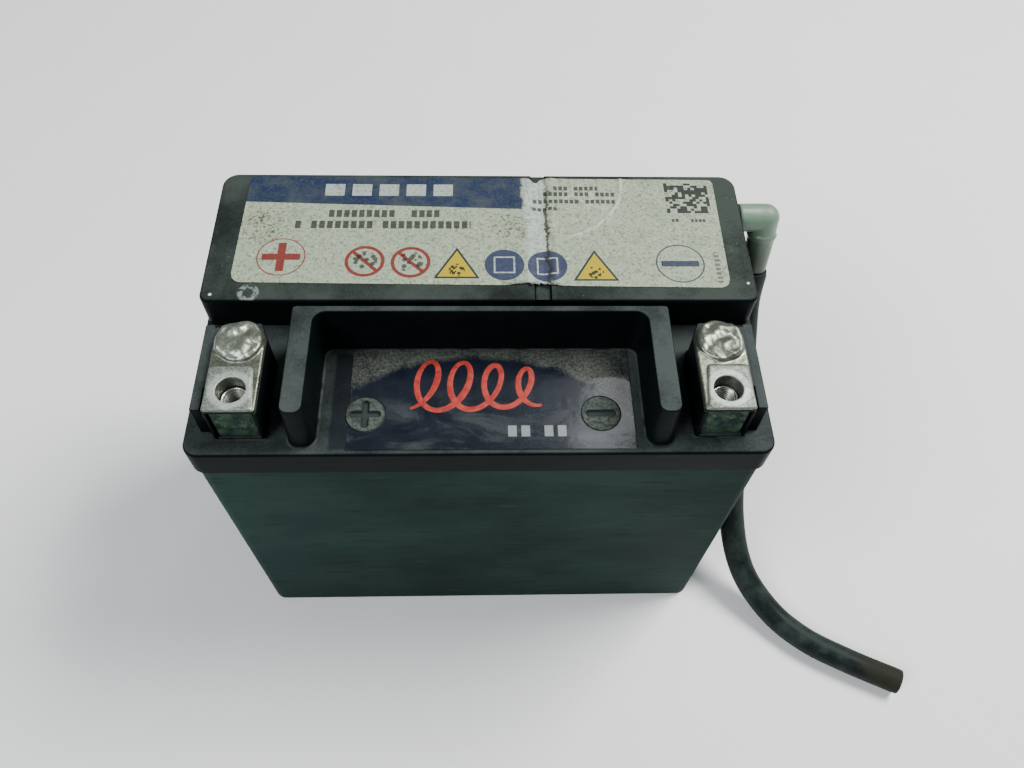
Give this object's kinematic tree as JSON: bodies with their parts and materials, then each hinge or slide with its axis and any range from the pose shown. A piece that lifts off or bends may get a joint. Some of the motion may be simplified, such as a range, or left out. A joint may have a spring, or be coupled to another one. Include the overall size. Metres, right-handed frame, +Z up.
{
  "type": "motorcycle battery",
  "caption": "Sealed twelve-volt lead-acid battery of motorcycle size with front bolt terminals, a vent cover, and a swivelling vent elbow with a free hose.",
  "frame": {"origin": "centre of the case's flat base", "axes": "+X to the right along the length with the terminals facing the viewer, towards the vent elbow; +Y to the back, away from the terminals; +Z up"},
  "size_m": [0.2194, 0.1228, 0.13],
  "materials": {
    "case_plastic": "dull moulded, dark green-grey",
    "lid_plastic": "satin moulded, black",
    "cover_plastic": "satin moulded, black",
    "lead": "cast lead, bright and rough",
    "tinned_brass": "tin-plated, dull",
    "positive_paste": "dull brown",
    "negative_paste": "dull grey",
    "glass_mat": "matt white fibre mat",
    "black_rubber": "matt",
    "hose_rubber": "satin, dusty",
    "pale_nylon": "pale translucent green-white, satin",
    "porous_disc": "matt sintered",
    "label_film": "printed film, satin, dirty",
    "dark_film": "glossy film, dusty"
  },
  "bodies": {
    "battery": {"case": "case_plastic", "lid": "lid_plastic", "vent_cover": "cover_plastic", "terminal_block_positive": "lead", "terminal_block_negative": "lead", "terminal_insert_positive": "tinned_brass", "terminal_insert_negative": "tinned_brass", "terminal_post_positive": "lead", "terminal_post_negative": "lead", "post_seal_positive": "black_rubber", "post_seal_negative": "black_rubber", "flame_arrestor": "porous_disc", "elbow_seal": "black_rubber", "top_label": "label_film", "front_label": "dark_film", "plates_positive_1": "positive_paste", "plates_negative_1": "negative_paste", "separator_1": "glass_mat", "cell_link_1": "lead", "plates_positive_2": "positive_paste", "plates_negative_2": "negative_paste", "separator_2": "glass_mat", "cell_link_2": "lead", "plates_positive_3": "positive_paste", "plates_negative_3": "negative_paste", "separator_3": "glass_mat", "cell_link_3": "lead", "plates_positive_4": "positive_paste", "plates_negative_4": "negative_paste", "separator_4": "glass_mat", "cell_link_4": "lead", "plates_positive_5": "positive_paste", "plates_negative_5": "negative_paste", "separator_5": "glass_mat", "cell_link_5": "lead", "plates_positive_6": "positive_paste", "plates_negative_6": "negative_paste", "separator_6": "glass_mat"},
    "vent_elbow": {"vent_elbow": "pale_nylon", "vent_hose": "hose_rubber"},
    "valve_cap_1": {"valve_cap_1": "black_rubber"},
    "valve_cap_2": {"valve_cap_2": "black_rubber"},
    "valve_cap_3": {"valve_cap_3": "black_rubber"},
    "valve_cap_4": {"valve_cap_4": "black_rubber"},
    "valve_cap_5": {"valve_cap_5": "black_rubber"},
    "valve_cap_6": {"valve_cap_6": "black_rubber"}
  },
  "joints": [
    {"name": "vent_elbow_swivel", "type": "hinge", "parent": "battery", "child": "vent_elbow", "pos_m": [0.0742, 0.031, 0.1195], "axis": [-1, 0, 0], "range_deg": [0, 45]},
    {"name": "valve_lift_1", "type": "slide", "parent": "battery", "child": "valve_cap_1", "axis": [0, 0, 1], "range_m": [0, 0.0008], "stiffness_N_per_m": 600, "springref_m": -0.001},
    {"name": "valve_lift_2", "type": "slide", "parent": "battery", "child": "valve_cap_2", "axis": [0, 0, 1], "range_m": [0, 0.0008], "stiffness_N_per_m": 600, "springref_m": -0.001},
    {"name": "valve_lift_3", "type": "slide", "parent": "battery", "child": "valve_cap_3", "axis": [0, 0, 1], "range_m": [0, 0.0008], "stiffness_N_per_m": 600, "springref_m": -0.001},
    {"name": "valve_lift_4", "type": "slide", "parent": "battery", "child": "valve_cap_4", "axis": [0, 0, 1], "range_m": [0, 0.0008], "stiffness_N_per_m": 600, "springref_m": -0.001},
    {"name": "valve_lift_5", "type": "slide", "parent": "battery", "child": "valve_cap_5", "axis": [0, 0, 1], "range_m": [0, 0.0008], "stiffness_N_per_m": 600, "springref_m": -0.001},
    {"name": "valve_lift_6", "type": "slide", "parent": "battery", "child": "valve_cap_6", "axis": [0, 0, 1], "range_m": [0, 0.0008], "stiffness_N_per_m": 600, "springref_m": -0.001}
  ]
}
